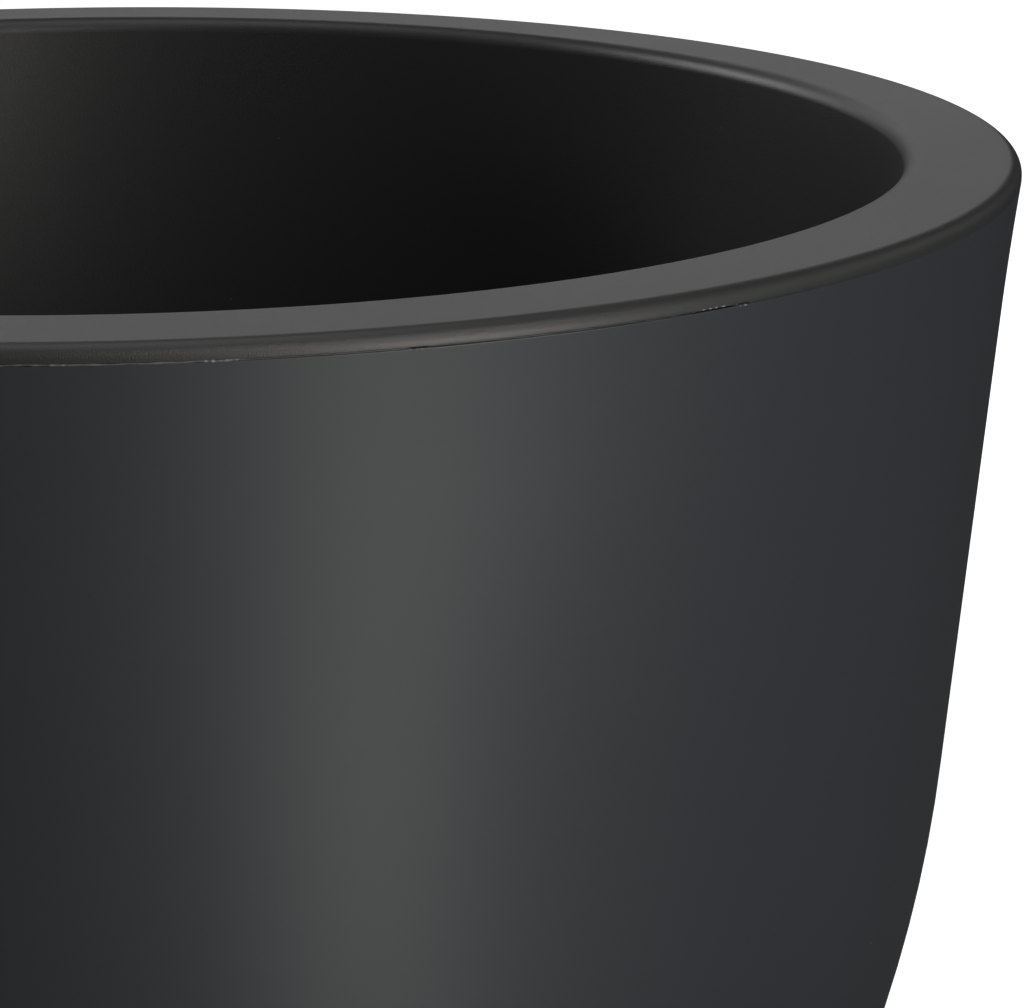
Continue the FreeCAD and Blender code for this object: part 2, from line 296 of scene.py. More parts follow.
def around(shape, count, first_deg=0.0):
    """Copies of a shape evenly spaced about the axis: x + iy is multiplied by e^(i angle)."""
    points, quads = shape
    angle = np.radians(first_deg) + np.arange(count)[:, None] * 2 * np.pi / count
    flat = (points[:, 0] + 1j * points[:, 1]) * np.exp(1j * angle)
    height = np.broadcast_to(points[:, 2], flat.shape)
    copies = np.stack([flat.real, flat.imag, height], axis=-1).reshape(-1, 3)
    return copies, (quads + np.arange(count)[:, None, None] * len(points)).reshape(-1, 4)


def piece(name, shape, body, nodes, material, sharp_deg=40.0, painted_highlight=None):
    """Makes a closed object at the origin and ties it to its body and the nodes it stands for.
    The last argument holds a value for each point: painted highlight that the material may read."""
    points, quads = shape
    mesh = bpy.data.meshes.new(name)
    mesh.from_pydata(points, [], quads)
    # A value for each point that holds painted highlight
    if painted_highlight is not None:
        mesh.attributes.new("painted_highlight", "FLOAT", "POINT").data.foreach_set("value", painted_highlight)
    work = bmesh.new()
    work.from_mesh(mesh)
    bmesh.ops.remove_doubles(work, verts=work.verts, dist=merge_distance)
    bmesh.ops.recalc_face_normals(work, faces=work.faces)
    volume = work.calc_volume(signed=True)
    open_edges = sum(not edge.is_manifold for edge in work.edges)
    work.to_mesh(mesh)
    work.free()
    mesh.polygons.foreach_set("use_smooth", np.ones(len(mesh.polygons), bool))
    mesh.set_sharp_from_angle(angle=math.radians(sharp_deg))
    mesh.materials.append(material)
    made = bpy.data.objects.new(name, mesh)
    bpy.context.scene.collection.objects.link(made)
    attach(made, body)
    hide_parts(*nodes)
    mesh.calc_loop_triangles()
    print(f"{name}: {len(mesh.loop_triangles)} triangles, {volume * 1e6:.1f} cm3, open edges {open_edges}")
    return made


# %% [markdown]
# A profile is drawn as a closed run of paths, and each corner between two paths is softened.
# Real mouldings have no sharp edges: the small rounds catch the light. A path is a row of points (radius, height).
# Points crowd towards each path's ends, so the shading bends only where the shape does.


# %% Profile helpers
fine_reach = 0.00035


def graded(start, end, count):
    """Count values from start to end that crowd towards both ends: half a cosine wave."""
    return start + (end - start) * (1 - np.cos(np.linspace(0, np.pi, count))) / 2


def cut_path(path, head, tail, count):
    """A path less some length at each end, as count points that crowd towards its new ends."""
    length = np.concatenate([[0], np.cumsum(np.hypot(*np.diff(path, axis=0).T))])
    where = graded(head, length[-1] - tail, count)
    return np.stack([np.interp(where, length, path[:, k]) for k in (0, 1)], axis=1)


def soft_corner(start, corner, end):
    """A curve from start to end pulled towards the corner: (1-t)^2 start + 2t(1-t) corner + t^2 end."""
    count = 6 if np.hypot(*(corner - start)) > fine_reach else 2
    t = np.linspace(0, 1, count + 2)[1:-1, None]
    return (1 - t) ** 2 * start + 2 * t * (1 - t) * corner + t ** 2 * end


def outline(paths, reaches, counts, closed=True):
    """Joins paths end to end. Each corner is softened over its reach on both sides."""
    parts = []
    heads = [reaches[-1] if closed else 0.0] + list(reaches[:-1])
    kept = [cut_path(p, h, r, n) for p, h, r, n in zip(paths, heads, reaches, counts)]
    for index, run in enumerate(kept):
        parts.append(run)
        if closed or index + 1 < len(kept):
            parts.append(soft_corner(run[-1], paths[index][-1], kept[(index + 1) % len(kept)][0]))
    return np.concatenate(parts)


def straight(*points):
    """A path of straight runs through the points."""
    return np.array(points, float)


def runs(stops):
    """One straight path from each stop to the next."""
    return [straight(a, b) for a, b in zip(stops, stops[1:])]


def lathe(section, segments=480, wrap=True, centre=(0.0, 0.0)):
    """Turns a section about an upright axis: (r, z) goes to (x0 + r cos a, y0 + r sin a, z)."""
    angle = np.arange(segments) * 2 * np.pi / segments
    radius, height = section[:, :1], section[:, 1:]
    points = np.stack(np.broadcast_arrays(
        centre[0] + radius * np.cos(angle), centre[1] + radius * np.sin(angle), height), axis=-1)
    return points.reshape(-1, 3), grid_quads(len(section), segments, wrap_rows=wrap)


# %% [markdown]
# Both vessels follow one side curve: a straight taper that turns into an arc down to the foot.
# The shell adds a slight flare under the rim. A wall set in by some depth is the taper moved along its normal
# and an arc about the same centre, so the walls keep their thickness.

# %% The pot's side
rim_radius = 0.200
foot_radius = 0.126
foot_lift = 0.002
shoulder_height = 0.164
taper = math.radians(4.6)
flare_height = 0.0285
flare_out = 0.0006
flange_thickness = 0.0032
seam_gap = 0.0003
flange_underside = rim_top - flange_thickness
shell_top = flange_underside - seam_gap
flare_start = shell_top - flare_height
shoulder_radius = rim_radius - flare_out - math.tan(taper) * (shell_top - shoulder_height)
path_steps = 1500


def belly_arc():
    """Centre and radius of the arc that leaves the taper at the shoulder and passes through the foot."""
    inward = np.array([-math.cos(taper), math.sin(taper)])
    shoulder = np.array([shoulder_radius, shoulder_height])
    span = np.array([foot_radius, foot_lift]) - shoulder
    bend = span @ span / (2 * inward @ span)
    return shoulder + inward * bend, bend


belly_centre, belly_bend = belly_arc()


def side_radius(height, inset=0.0, flared=True):
    """Radius at a height of the side set in by inset: the arc below the shoulder, the taper above it, and a
    swell that grows as the square of the height into the flare."""
    turn = shoulder_height + inset * math.sin(taper)
    line = shoulder_radius - inset * math.cos(taper) + math.tan(taper) * (height - turn)
    below = np.minimum(height, turn) - belly_centre[1]
    arc = belly_centre[0] + np.sqrt((belly_bend - inset) ** 2 - below ** 2)
    swell = flare_out * np.clip((height - flare_start) / flare_height, 0, None) ** 2
    return np.where(height >= turn, line, arc) + (swell if flared else 0.0)


def side_path(top, bottom, inset=0.0, flared=True):
    """The side from one height to another, as a dense path."""
    height = np.linspace(top, bottom, path_steps)
    return np.stack([side_radius(height, inset, flared), height], axis=1)


print("belly arc radius in mm:", round(belly_bend * 1000, 1))

# %% [markdown]
# Moulded plastic is never one flat colour. The surface has a fine grain from the tool, the pigment drifts a
# little over a hand's width, and dust and small nicks sit on it. Each effect is a node group, built once, that
# gives a height, a value or a mask; each finish places it with its own numbers.


# %% Shared surface groups
def shader_group(name, inputs, outputs):
    """An empty node group with named float or vector inputs and float outputs."""
    tree = bpy.data.node_groups.new(name, "ShaderNodeTree")
    for label, kind, value in inputs:
        made = tree.interface.new_socket(label, in_out="INPUT", socket_type=kind)
        if value is not None:
            made.default_value = value
    for label in outputs:
        tree.interface.new_socket(label, in_out="OUTPUT", socket_type="NodeSocketFloat")
    return tree, tree.nodes.new("NodeGroupInput"), tree.nodes.new("NodeGroupOutput")


def moulded_grain():
    """Height of a spark-eroded tool face: rounded pits broken up by finer noise."""
    inputs = [("Position", "NodeSocketVector", None), ("Size", "NodeSocketFloat", 0.0004)]
    tree, given, result = shader_group("moulded_grain", inputs, ["Height"])
    scale = math_node(tree, "DIVIDE", 1.0, given.outputs["Size"])
    feeds = {"Vector": given.outputs["Position"], "Scale": scale}
    noise = add(tree, "ShaderNodeTexNoise", {**feeds, "Detail": 1.0, "Roughness": 0.6})
    pits = math_node(tree, "SMOOTH_MIN", noise.outputs[0], 0.55, 0.2)
    tree.links.new(pits, result.inputs["Height"])
    return tree


def pigment_drift():
    """A slow value around zero: two octaves of noise, stretched a little along the pot's axis."""
    inputs = [("Position", "NodeSocketVector", None), ("Size", "NodeSocketFloat", 0.08)]
    tree, given, result = shader_group("pigment_drift", inputs, ["Value"])
    scale = math_node(tree, "DIVIDE", 1.0, given.outputs["Size"])
    feeds = {"Vector": given.outputs["Position"], "Scale": (1.0, 1.0, 0.55)}
    long = add(tree, "ShaderNodeMapping", feeds, vector_type="POINT")
    noise = add(tree, "ShaderNodeTexNoise", {"Vector": long.outputs[0], "Scale": scale, "Detail": 2.0})
    value = math_node(tree, "MULTIPLY_ADD", noise.outputs[0], 2.0, -1.0)
    tree.links.new(value, result.inputs["Value"])
    return tree


def dust_specks():
    """Mask of small round specks: the middles of random cells, kept where the cell's own number is high."""
    inputs = [
        ("Position", "NodeSocketVector", None), ("Spacing", "NodeSocketFloat", 0.008),
        ("Speck", "NodeSocketFloat", 0.06), ("Share", "NodeSocketFloat", 0.2),
    ]
    tree, given, result = shader_group("dust_specks", inputs, ["Mask"])
    scale = math_node(tree, "DIVIDE", 1.0, given.outputs["Spacing"])
    cells = add(tree, "ShaderNodeTexVoronoi", {"Vector": given.outputs["Position"], "Scale": scale})
    number = add(tree, "ShaderNodeSeparateColor", {0: cells.outputs["Color"]})
    least = math_node(tree, "SUBTRACT", 1.0, given.outputs["Share"])
    chosen = math_node(tree, "GREATER_THAN", number.outputs["Red"], least)
    size = math_node(tree, "MULTIPLY", given.outputs["Speck"], number.outputs["Green"])
    inside = math_node(tree, "LESS_THAN", cells.outputs["Distance"], size)
    tree.links.new(math_node(tree, "MULTIPLY", chosen, inside), result.inputs["Mask"])
    return tree


def scuff_band():
    """Mask of rubbed marks between two heights: a band whose edges fray with noise."""
    inputs = [
        ("Position", "NodeSocketVector", None), ("Height", "NodeSocketFloat", 0.0),
        ("Half Width", "NodeSocketFloat", 0.003), ("Fray", "NodeSocketFloat", 0.5),
    ]
    tree, given, result = shader_group("scuff_band", inputs, ["Mask"])
    place = add(tree, "ShaderNodeSeparateXYZ", {0: given.outputs["Position"]})
    away = math_node(tree, "ABSOLUTE", math_node(tree, "SUBTRACT", place.outputs["Z"], given.outputs["Height"]))
    near = math_node(tree, "SUBTRACT", 1.0, math_node(tree, "DIVIDE", away, given.outputs["Half Width"]), clamp=True)
    feeds = {"Vector": given.outputs["Position"], "Scale": 420.0, "Detail": 4.0}
    noise = add(tree, "ShaderNodeTexNoise", feeds)
    broken = math_node(tree, "GREATER_THAN", noise.outputs[0], given.outputs["Fray"])
    tree.links.new(math_node(tree, "MULTIPLY", near, broken), result.inputs["Mask"])
    return tree


GRAIN = moulded_grain()
DRIFT = pigment_drift()
DUST = dust_specks()
SCUFF = scuff_band()
print("surface groups:", [g.name for g in bpy.data.node_groups])

# %% [markdown]
# The shell is a smooth, slightly blue anthracite and the insert a finely grained, neutral one, as the joint line in
# the photograph shows: the surface changes there. Both come from one recipe with different numbers.

# %% Plastic finishes
blue_anthracite = (0.0276, 0.0311, 0.0376)
plain_anthracite = (0.0268, 0.0269, 0.0274)
# Pale grey for dust and scuffs, and for the flash's painted highlight
mark_and_highlight_grey = (0.20, 0.20, 0.20, 1)
pigment_patch = 0.09
pigment_fleck = 0.006
fleck_share = 0.4
gloss_drift = 0.03
mark_and_highlight_roughness = 0.25
dust_spacing = 0.007
dust_size = 0.05
dust_paleness = 0.5
scuff_half_width = 0.004
scuff_fray = 0.56
scuff_paleness = 0.35


def use(tree, group, **feeds):
    """Places a shared group and feeds its inputs; spaces in an input's name are written as underscores."""
    spaced = {name.replace("_", " "): source for name, source in feeds.items()}
    return add(tree, "ShaderNodeGroup", spaced, node_tree=group).outputs[0]


def moulded_plastic(name, colour, roughness, grain_size, grain_depth, drift=0.08, dust=0.12, scuff_height=None,
                    painted_flash_highlight=False):
    """Colour and roughness drift slowly, dust is paler and rougher, scuffs are paler, a painted highlight read from
    each point makes the colour paler and rougher, and grain is a bump."""
    material, tree, output = empty_material(name)
    place = tree.nodes.new("ShaderNodeTexCoord").outputs["Object"]
    slow = use(tree, DRIFT, Position=place, Size=pigment_patch)
    quick = use(tree, DRIFT, Position=place, Size=pigment_fleck)
    height = use(tree, GRAIN, Position=place, Size=grain_size)
    specks = use(tree, DUST, Position=place, Spacing=dust_spacing, Speck=dust_size, Share=dust)
    marks = math_node(tree, "MULTIPLY", specks, dust_paleness)
    if scuff_height is not None:
        scuffs = use(tree, SCUFF, Position=place, Height=scuff_height, Half_Width=scuff_half_width, Fray=scuff_fray)
        marks = math_node(tree, "MAXIMUM", marks, math_node(tree, "MULTIPLY", scuffs, scuff_paleness))
    # Painted highlight: a value on each point pales the colour and makes it rougher
    if painted_flash_highlight:
        white = add(tree, "ShaderNodeAttribute", attribute_name="painted_highlight")
        marks = math_node(tree, "MAXIMUM", marks, white.outputs["Fac"])
    shade = math_node(tree, "MULTIPLY_ADD", slow, drift, 1.0)
    shade = math_node(tree, "MULTIPLY_ADD", quick, drift * fleck_share, shade)
    tinted = add(tree, "ShaderNodeVectorMath", {0: colour, "Scale": shade}, operation="SCALE")
    paled = mix_colour(tree, marks, tinted.outputs[0], mark_and_highlight_grey)
    rough = math_node(tree, "MULTIPLY_ADD", slow, gloss_drift, roughness)
    rough = math_node(tree, "MULTIPLY_ADD", marks, mark_and_highlight_roughness, rough, clamp=True)
    bump = add(tree, "ShaderNodeBump", {"Height": height, "Distance": grain_depth, "Strength": 1.0})
    shader = add(tree, "ShaderNodeBsdfPrincipled", {
        "Base Color": paled, "Roughness": rough, "Normal": bump.outputs[0], "IOR": 1.5})
    tree.links.new(shader.outputs[0], output.inputs["Surface"])
    return material


satin_anthracite = moulded_plastic(
    "satin_anthracite", blue_anthracite, 0.43, 0.0006, 0.000004, dust=0.02, scuff_height=foot_lift)
grained_anthracite = moulded_plastic("grained_anthracite", plain_anthracite, 0.41, 0.0003, 0.00008, dust=0.2)
# The flash's finish, paled where its points carry painted highlight
flash_with_painted_highlight = moulded_plastic("flash_with_painted_highlight", plain_anthracite, 0.42, 0.0003, 0.00001, painted_flash_highlight=True)
black_plastic = moulded_plastic("black_plastic", (0.016, 0.016, 0.017), 0.5, 0.0005, 0.00002)
dark_plastic = moulded_plastic("dark_plastic", (0.028, 0.029, 0.031), 0.42, 0.0004, 0.00001)
print("plastics:", satin_anthracite.name, grained_anthracite.name, black_plastic.name, dark_plastic.name)

# %% [markdown]
# Rubber scatters light softly and shows no gloss, so its finish is rough and nearly black, with a pale bloom in
# patches. The plastic's recipe would be too smooth for it, so it has its own, made from the same groups.

# %% Rubber finish
bloom_size = 0.004
rubber_grain = 0.0003
rubber_depth = 0.00003
rubber_roughness = 0.78
rubber_drift = 0.08


def soft_rubber(name, colour, bloom):
    """Rough dark rubber: a pale bloom follows slow noise, and a fine grain breaks the surface."""
    material, tree, output = empty_material(name)
    place = tree.nodes.new("ShaderNodeTexCoord").outputs["Object"]
    cloud = use(tree, DRIFT, Position=place, Size=bloom_size)
    height = use(tree, GRAIN, Position=place, Size=rubber_grain)
    shade = math_node(tree, "MULTIPLY_ADD", cloud, bloom, 1.0 + bloom)
    tinted = add(tree, "ShaderNodeVectorMath", {0: colour, "Scale": shade}, operation="SCALE")
    rough = math_node(tree, "MULTIPLY_ADD", cloud, rubber_drift, rubber_roughness)
    bump = add(tree, "ShaderNodeBump", {"Height": height, "Distance": rubber_depth, "Strength": 1.0})
    shader = add(tree, "ShaderNodeBsdfPrincipled", {
        "Base Color": tinted.outputs[0], "Roughness": rough, "Normal": bump.outputs[0]})
    tree.links.new(shader.outputs[0], output.inputs["Surface"])
    return material


pad_rubber = soft_rubber("foot_rubber", (0.016, 0.016, 0.016), 0.5)
gasket_rubber = soft_rubber("seal_rubber", (0.010, 0.010, 0.010), 0.3)
print("rubbers:", pad_rubber.name, gasket_rubber.name)

# %% [markdown]
# The outer shell is one closed section turned about the axis: down the outside, in under the ring foot, along
# the recessed base to the drain boss, up through the drain hole, across the floor and up the inside.
# A subdivided cylinder would need many edge loops to hold these small rounds; a section has them drawn in.

# %% Outer shell wall
shell_wall = 0.0032
foot_ring_width = 0.0045
base_underside = 0.009
base_top = 0.0125
drain_radius = 0.013
boss_radius = 0.018
boss_bottom = 0.003
ring_inside = foot_radius - foot_ring_width


def shell_section():
    """The closed section of the shell, with a small round at every corner."""
    outside = side_path(shell_top, foot_lift)
    inside = side_path(base_top, shell_top, shell_wall)
    stops = [
        tuple(outside[-1]), (ring_inside, foot_lift), (ring_inside, base_underside),
        (boss_radius, base_underside), (boss_radius, boss_bottom), (drain_radius, boss_bottom),
        (drain_radius, base_top), tuple(inside[0]),
    ]
    paths = [outside, *runs(stops), inside, straight(inside[-1], outside[0])]
    reaches = [0.0016, 0.0008, 0.0020, 0.0012, 0.0005, 0.0005, 0.0006, 0.0070, 0.0004, 0.0001]
    return outline(paths, reaches, [54, 5, 5, 14, 5, 5, 6, 14, 28, 5])


piece("shell_wall", lathe(shell_section()), "shell", ["outer_shell"], satin_anthracite)

# %% [markdown]
# Under the base, ribs run from the drain boss to the ring foot, and round bosses hold the pads.
# A rib thins towards its lower edge so that it leaves the mould: its cross section is carried along the radius.

# %% Base ribs and pad bosses
rib_count = 8
rib_half = 0.00125
rib_tip_half = 0.0010
rib_depth = 0.005
rib_sink = 0.001
pad_radius = 0.008
pad_fit = 0.00015
pad_boss = 0.0105
pad_circle = 0.107
pad_seat = 0.0045
boss_sink = 0.0015
small_segments = 72


def base_rib():
    """A drafted bar along X: (y, z) of the cross section is swept from the boss to the ring foot."""
    root, tip = base_underside + rib_sink, base_underside - rib_depth
    corners = [(rib_half, root), (rib_tip_half, tip), (-rib_tip_half, tip), (-rib_half, root)]
    section = outline(runs(corners + corners[:1]), [0.0006, 0.0006, 0.0001, 0.0001], [4, 3, 4, 3])
    return carried(section, boss_radius - rib_sink, ring_inside + rib_sink)


def carried(section, start, end):
    """A (y, z) section carried along X between two stations, with flat ends that close on its middle."""
    middle = np.broadcast_to(section.mean(axis=0), section.shape)
    rows = np.stack([middle, section, section, middle])
    along = np.broadcast_to(np.array([start, start, end, end])[:, None], rows.shape[:2])
    points = np.concatenate([along[..., None], rows], axis=-1)
    return points.reshape(-1, 3), grid_quads(4, len(section))


def boss_section():
    """A round boss with a flat-bottomed seat: from the seat's middle out, down, round the lip and up."""
    stops = [
        (0, pad_seat), (pad_radius + pad_fit, pad_seat), (pad_radius + pad_fit, foot_lift),
        (pad_boss, foot_lift), (pad_boss, base_underside + boss_sink), (0, base_underside + boss_sink),
    ]
    return outline(runs(stops), [0.0004, 0.0003, 0.0005, 0.0001, 0], [5, 4, 4, 5, 3], closed=False)


ribs = around(base_rib(), rib_count, 22.5)
piece("base_ribs", ribs, "shell", ["outer_shell"], satin_anthracite)
bosses = around(lathe(boss_section(), small_segments, wrap=False, centre=(pad_circle, 0)), 4)
piece("pad_bosses", bosses, "shell", ["outer_shell"], satin_anthracite)

# %% [markdown]
# The planting insert hangs in the shell by the flange that forms the rim.
# Its section goes up the inside, over the rounded mouth, along the flat rim, down a quarter round to the
# joint line, back under the flange past the seat bead and the register lip, and down the wall's back.

# %% Insert section
insert_wall = 0.0030
rim_width = 0.025
mouth_edge = 0.004
edge_land = 0.0002
edge_round = flange_thickness - edge_land
bead_inset = 0.0009
bead_width = 0.0014
lip_height = 0.009
lip_wall = 0.0022
lip_clearance = 0.0004
lip_chamfer = 0.0008
floor_top = 0.043
floor_under = 0.040
floor_split = 0.112
mouth_height = rim_top - mouth_edge * (1 - math.sin(taper))
mouth_radius = rim_radius - rim_width
insert_inset = (float(side_radius(mouth_height, 0, False)) - mouth_radius) * math.cos(taper)
back_inset = insert_inset - insert_wall
lip_bottom = flange_underside - lip_height
lip_outside = float(side_radius(lip_bottom, shell_wall)) - lip_clearance
lip_inside = lip_outside - lip_wall
round_steps = 60


def arc_path(centre, radius, start_deg, end_deg):
    """A round arc: centre + radius (cos a, sin a)."""
    angle = np.radians(np.linspace(start_deg, end_deg, round_steps))
    return np.array(centre) + radius * np.stack([np.cos(angle), np.sin(angle)], axis=1)


def insert_section():
    """The section of the insert's wall and flange, open where the pierced floor goes on."""
    inside = side_path(floor_top, mouth_height, insert_inset, False)
    mouth_centre = (mouth_radius + mouth_edge * math.cos(taper), rim_top - mouth_edge)
    mouth = arc_path(mouth_centre, mouth_edge, 180 - math.degrees(taper), 90)
    edge = arc_path((rim_radius - edge_round, rim_top - edge_round), edge_round, 90, 0)
    back = side_path(flange_underside, floor_under, back_inset, False)
    bead_outside, bead_inside = rim_radius - bead_inset, rim_radius - bead_inset - bead_width
    stops = [
        tuple(edge[-1]), (rim_radius, flange_underside), (bead_outside, flange_underside),
        (bead_outside, shell_top), (bead_inside, shell_top), (bead_inside, flange_underside),
        (lip_outside, flange_underside), (lip_outside, lip_bottom + lip_chamfer),
        (lip_outside - lip_chamfer, lip_bottom), (lip_inside, lip_bottom),
        (lip_inside, flange_underside), tuple(back[0]),
    ]
    paths = [
        straight((floor_split, floor_top), inside[0]), inside, mouth, straight(mouth[-1], edge[0]), edge,
        *runs(stops), back, straight(back[-1], (floor_split, floor_under)),
    ]
    fine = 0.0001
    reaches = [
        0.0085, 0.0001, 0.0001, 0.0004, 0.00008, fine, fine, fine, fine, fine, fine, 0.0002, 0.0002, 0.0003,
        0.0006, 0.0020, 0.0110, 0,
    ]
    counts = [3, 22, 14, 6, 18, 2, 2, 2, 2, 2, 3, 3, 2, 3, 3, 4, 16, 3]
    return outline(paths, reaches, counts, closed=False)


print("mouth radius in mm:", round(mouth_radius * 1000, 1), "inset:", round(insert_inset * 1000, 2))

# %% [markdown]
# The insert's floor has two circles of drain holes. A boolean cut would leave long thin faces round each hole,
# so the floor is laid out as ring sectors instead, one hole in each: lines run from the hole's edge to the
# sector's edge, and down through the hole. The same surface with a long hole makes the drainage grid's slots.


# %% Pierced ring
def sector_edge(inner, outer, half, arc_steps, side_steps):
    """Points once round a ring sector about +X: out along one side, over the arc, in along the other, back."""
    ones = np.ones
    out = np.linspace(inner, outer, side_steps + 1)
    sweep = np.linspace(half, -half, arc_steps + 1)
    radius = np.concatenate([out[:-1], outer * ones(arc_steps), out[:0:-1], inner * ones(arc_steps)])
    angle = np.concatenate([half * ones(side_steps), sweep[:-1], -half * ones(side_steps), sweep[:0:-1]])
    return np.stack([radius * np.cos(angle), radius * np.sin(angle)], axis=1)


def slot_reach(way, half_length, half_width):
    """From a slot's middle to its edge along a unit direction (c, s): w / |s| where that meets a straight
    side, else L|c| + sqrt(w^2 - L^2 s^2), where it meets a round end. A round hole has L = 0."""
    c, s = np.abs(way[:, 0]), np.abs(way[:, 1])
    side = half_width / np.maximum(s, 1e-9)
    end = half_length * c + np.sqrt(np.maximum(half_width ** 2 - (half_length * s) ** 2, 0))
    return np.where(side * c <= half_length, side, end)


def pierced_ring(inner, outer, count, bottom, top, hole, arc_steps, side_steps, edge):
    """A flat ring of sectors with one hole each. hole is (distance, half length, half width). Rows run along
    the underside to the hole, up through it past two rounded edges, and back out along the top."""
    middle, half_length, half_width = hole
    rim = sector_edge(inner, outer, np.pi / count, arc_steps, side_steps)
    away = rim - [middle, 0]
    reach = np.hypot(*away.T)
    way = away / reach[:, None]
    # Row by row, the share of the way from the hole's edge out to the sector's edge
    share = np.concatenate([[1, 0.4, 0.08], np.zeros(8), [0.08, 0.4, 1]])
    bend = np.radians(np.linspace(0, 90, 4))
    swell = edge * (1 - np.sin(bend))
    rise = edge * (1 - np.cos(bend))
    offset = np.concatenate([np.full(3, edge), swell, swell[::-1], np.full(3, edge)])
    height = np.concatenate([np.full(3, bottom), bottom + rise, top - rise[::-1], np.full(3, top)])
    start = np.stack([slot_reach(way, half_length, half_width + o) for o in offset])
    along = start + share[:, None] * (reach - start)
    points = np.empty(along.shape + (3,))
    points[..., 0] = middle + along * way[:, 0]
    points[..., 1] = along * way[:, 1]
    points[..., 2] = height[:, None]
    return around((points.reshape(-1, 3), grid_quads(*along.shape)), count)


# %% [markdown]
# The insert's wall is turned from its section, and the floor is laid into it: a plain disc in the middle, and two
# pierced rings whose edges lie on the points of the wall and the disc, so that the merge closes them.

# %% Insert wall with its drained floor
insert_segments = 432
inner_count = 6
outer_count = 12
band_steps = 12
disc_ring = 0.008
floor_corner = 0.012
hole_margin = 0.009
hole_edge = 0.0005
hole_radius = 0.005
inner_holes = 0.048
inner_band = (0.026, 0.074)
outer_holes = float(side_radius(floor_top, insert_inset, False)) - floor_corner - hole_margin - hole_radius
round_hole = (0.0, hole_radius)
centre = straight((0, 0), (disc_ring, 0), (inner_band[0], 0))
discs = [lathe(centre + [0, height], insert_segments, wrap=False) for height in (floor_top, floor_under)]
inner_ring = pierced_ring(
    *inner_band, inner_count, floor_under, floor_top, (inner_holes, *round_hole), insert_segments // inner_count,
    band_steps, hole_edge)
outer_ring = pierced_ring(
    inner_band[1], floor_split, outer_count, floor_under, floor_top, (outer_holes, *round_hole),
    insert_segments // outer_count, band_steps, hole_edge)
insert = join(lathe(insert_section(), insert_segments, wrap=False), outer_ring, inner_ring, *discs)
piece("insert_wall", insert, "insert", ["planting_insert"], grained_anthracite)
print("outer drain holes on a circle of radius, mm:", round(outer_holes * 1000, 1))

# %% [markdown]
# Webs under the flange carry the soil's weight from the rim to the wall, and hollow stub feet take the rest to
# the shell's floor. They are part of the same moulding, and sink a little into what they join.

# %% Flange webs and stub feet
web_count = 24
web_half = 0.001
web_height = 0.014
stub_radius = 0.011
stub_bore = 0.0085
stub_circle = 0.084
stub_bottom = 0.0128
stub_sink = 0.0015


def flange_web():
    """A four-cornered plate in the X-Z plane, thick along Y: the section is carried across its thickness."""
    root = back_inset + insert_wall / 2
    top, low = flange_underside + flange_thickness / 2, flange_underside - web_height
    tip = lip_inside + lip_wall / 2
    corners = [
        (float(side_radius(top, root, False)), top), (tip, top), (tip, lip_bottom + lip_wall),
        (float(side_radius(low, root, False)), low),
    ]
    section = outline(runs(corners + corners[:1]), [0.0003, 0.0006, 0.0006, 0.0003], [4, 4, 6, 5])
    points, quads = carried(section, -web_half, web_half)
    return points[:, [1, 0, 2]], quads


def stub_section():
    """A hollow round foot with soft lower edges."""
    top = floor_under + stub_sink
    corners = [(stub_radius, top), (stub_radius, stub_bottom), (stub_bore, stub_bottom), (stub_bore, top)]
    return outline(runs(corners + corners[:1]), [0.0006, 0.0006, 0.0002, 0.0002], [6, 4, 6, 3])


webs = around(flange_web(), web_count)
piece("flange_webs", webs, "insert", ["planting_insert"], grained_anthracite, sharp_deg=30)
stubs = around(lathe(stub_section(), small_segments, centre=(stub_circle, 0)), 4, 45)
piece("stub_feet", stubs, "insert", ["planting_insert"], grained_anthracite)

# %% [markdown]
# Where the rim meets the shell, the photograph shows flash: plastic that crept into the joint and was trimmed by
# hand. On the left it stands out as a thin pale line. Further right it lies a little back, so the joint is a thin
# dark line, and in two short stretches the gap is open and has burrs at its lips. On the far right it is trimmed
# flush, and the line fades out. The pale line and the light specks on the burrs and lips are painted highlight:
# the strip's colour is mixed towards pale grey there. It is a strip in the gap: how far it stands out follows the
# bearing, and its noise is made from summed waves, because a sculpted edge could not be repeated from numbers.

# %% Joint line flash
flash_steps = 5400
flash_sides = 12
flash_back = rim_radius - 0.00095
flash_half = 0.00017
flash_power = 0.6
flush = -0.00001
proud_reach = 0.00007
burr_reach = 0.00008
shallow_depth = 0.00005
deep_depth = 0.0003
waver_reach = 0.00004
lip_shift = 0.00026
lump_share = 0.25
# How far the painted highlight pales the strip: on the proud line, on the burrs and on the gap's lips
proud_painted_highlight, burr_painted_highlight, lip_painted_highlight = 0.36, 0.9, 0.8
# Stretches of the joint: first bearing, last bearing and the slope at each end, all in degrees
pale_line, far_side = (-72, 7, 2.0), (70, 181, 1.0)
left_burrs, right_burrs = (-3.0, -1.6, 0.4), (4.2, 6.4, 0.3)
thin_gap, wider_gap = (6.5, 39.5, 2.0), (18.5, 30.5, 1.5)
left_gap, right_gap = (14.4, 19.4, 0.9), (29.5, 34.4, 0.5)
upper_burrs = (30.4, 33.2, 0.3)
left_lower_burrs, right_lower_burrs = (14.2, 15.4, 0.3), (33.3, 34.2, 0.2)


def wandering(count, fewest, most, seed):
    """Periodic noise of about unit size: random waves between two wave counts, summed by an inverse FFT."""
    draw = np.random.default_rng(seed)
    spectrum = np.zeros(count // 2 + 1, complex)
    waves = np.arange(fewest, most)
    spectrum[waves] = draw.normal(size=len(waves)) + 1j * draw.normal(size=len(waves))
    noise = np.fft.irfft(spectrum, count)
    return noise / noise.std()


